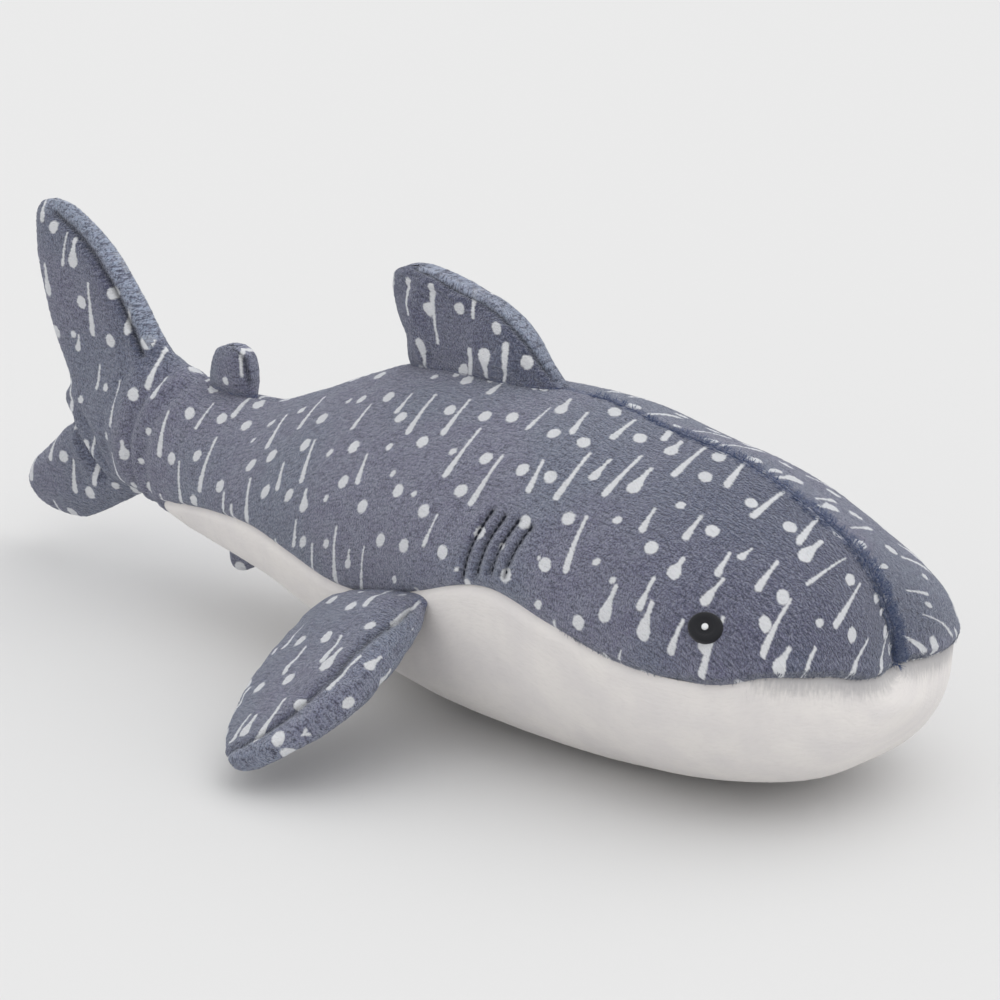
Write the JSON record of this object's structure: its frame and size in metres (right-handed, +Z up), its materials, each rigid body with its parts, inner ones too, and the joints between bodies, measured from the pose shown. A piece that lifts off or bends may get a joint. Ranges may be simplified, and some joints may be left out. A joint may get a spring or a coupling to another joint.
{
  "type": "plush whale shark",
  "caption": "Soft stuffed whale shark lying on its belly, with a spotted short-pile back, white underside, embroidered eyes and padded fins that flex.",
  "frame": {"origin": "centre of the bounding box at the surface that the belly rests on", "axes": "+X from the tail to the nose, +Y to the shark's left, +Z up"},
  "size_m": [0.45, 0.2828, 0.1605],
  "materials": {
    "printed_pile": "short blue-grey pile printed with white spots and dashes",
    "white_pile": "smooth short warm white pile",
    "filling": "loose white polyester fibre",
    "blue_thread": "dark blue sewing thread",
    "white_thread": "white sewing and embroidery thread",
    "eye_thread": "black embroidery thread with a slight shine"
  },
  "bodies": {
    "body": {"belly_panel": "white_pile", "body_filling": "filling", "back_seam_thread": "blue_thread", "back_panel_right": "printed_pile", "side_seam_thread_right": "white_thread", "eye_right": "eye_thread", "eye_highlight_right": "white_thread", "gill_stitch_right_1": "blue_thread", "gill_stitch_right_2": "blue_thread", "gill_stitch_right_3": "blue_thread", "gill_stitch_right_4": "blue_thread", "back_panel_left": "printed_pile", "side_seam_thread_left": "white_thread", "eye_left": "eye_thread", "eye_highlight_left": "white_thread", "gill_stitch_left_1": "blue_thread", "gill_stitch_left_2": "blue_thread", "gill_stitch_left_3": "blue_thread", "gill_stitch_left_4": "blue_thread"},
    "tail": {"tail_belly_panel": "white_pile", "tail_filling": "filling", "tail_top_seam_thread": "blue_thread", "tail_panel_right": "printed_pile", "tail_seam_thread_right": "white_thread", "tail_panel_left": "printed_pile", "tail_seam_thread_left": "white_thread"},
    "dorsal_fin": {"dorsal_fin_left_panel": "printed_pile", "dorsal_fin_right_panel": "printed_pile", "dorsal_fin_seam_thread": "blue_thread", "dorsal_fin_filling": "filling"},
    "second_dorsal_fin": {"second_dorsal_fin_left_panel": "printed_pile", "second_dorsal_fin_right_panel": "printed_pile", "second_dorsal_fin_seam_thread": "blue_thread", "second_dorsal_fin_filling": "filling"},
    "anal_fin": {"anal_fin_left_panel": "printed_pile", "anal_fin_right_panel": "printed_pile", "anal_fin_seam_thread": "blue_thread", "anal_fin_filling": "filling"},
    "pectoral_fin_right": {"pectoral_fin_right_upper_panel": "printed_pile", "pectoral_fin_right_lower_panel": "printed_pile", "pectoral_fin_right_seam_thread": "blue_thread", "pectoral_fin_right_filling": "filling"},
    "pectoral_fin_left": {"pectoral_fin_left_upper_panel": "printed_pile", "pectoral_fin_left_lower_panel": "printed_pile", "pectoral_fin_left_seam_thread": "blue_thread", "pectoral_fin_left_filling": "filling"},
    "tail_fin": {"tail_fin_left_panel": "printed_pile", "tail_fin_right_panel": "printed_pile", "tail_fin_seam_thread": "blue_thread", "tail_fin_filling": "filling"}
  },
  "joints": [
    {"name": "tail_sway", "type": "hinge", "parent": "body", "child": "tail", "pos_m": [-0.05, 0, 0.06], "axis": [0, 0, 1], "range_deg": [-20, 20], "stiffness_Nm_per_rad": 0.3},
    {"name": "tail_fin_sway", "type": "hinge", "parent": "tail", "child": "tail_fin", "pos_m": [-0.143, 0, 0.062], "axis": [0, 0, 1], "range_deg": [-30, 30], "stiffness_Nm_per_rad": 0.15},
    {"name": "dorsal_fin_lean", "type": "hinge", "parent": "body", "child": "dorsal_fin", "pos_m": [0.03, 0, 0.1236], "axis": [0.9978, 0, 0.0663], "range_deg": [-30, 30], "stiffness_Nm_per_rad": 0.1},
    {"name": "second_dorsal_fin_lean", "type": "hinge", "parent": "tail", "child": "second_dorsal_fin", "pos_m": [-0.101, 0, 0.0904], "axis": [1, 0, 0], "range_deg": [-30, 30], "stiffness_Nm_per_rad": 0.03},
    {"name": "anal_fin_lean", "type": "hinge", "parent": "tail", "child": "anal_fin", "pos_m": [-0.099, 0, 0.0244], "axis": [-0.9659, 0, 0.2588], "range_deg": [-30, 30], "stiffness_Nm_per_rad": 0.03},
    {"name": "pectoral_fin_right_lift", "type": "hinge", "parent": "body", "child": "pectoral_fin_right", "pos_m": [0.024, -0.0626, 0.0495], "axis": [-0.9521, 0.1754, -0.2505], "range_deg": [-4, 50], "stiffness_Nm_per_rad": 0.15},
    {"name": "pectoral_fin_left_lift", "type": "hinge", "parent": "body", "child": "pectoral_fin_left", "pos_m": [0.024, 0.0626, 0.0495], "axis": [0.9521, 0.1754, 0.2505], "range_deg": [-4, 50], "stiffness_Nm_per_rad": 0.15}
  ]
}
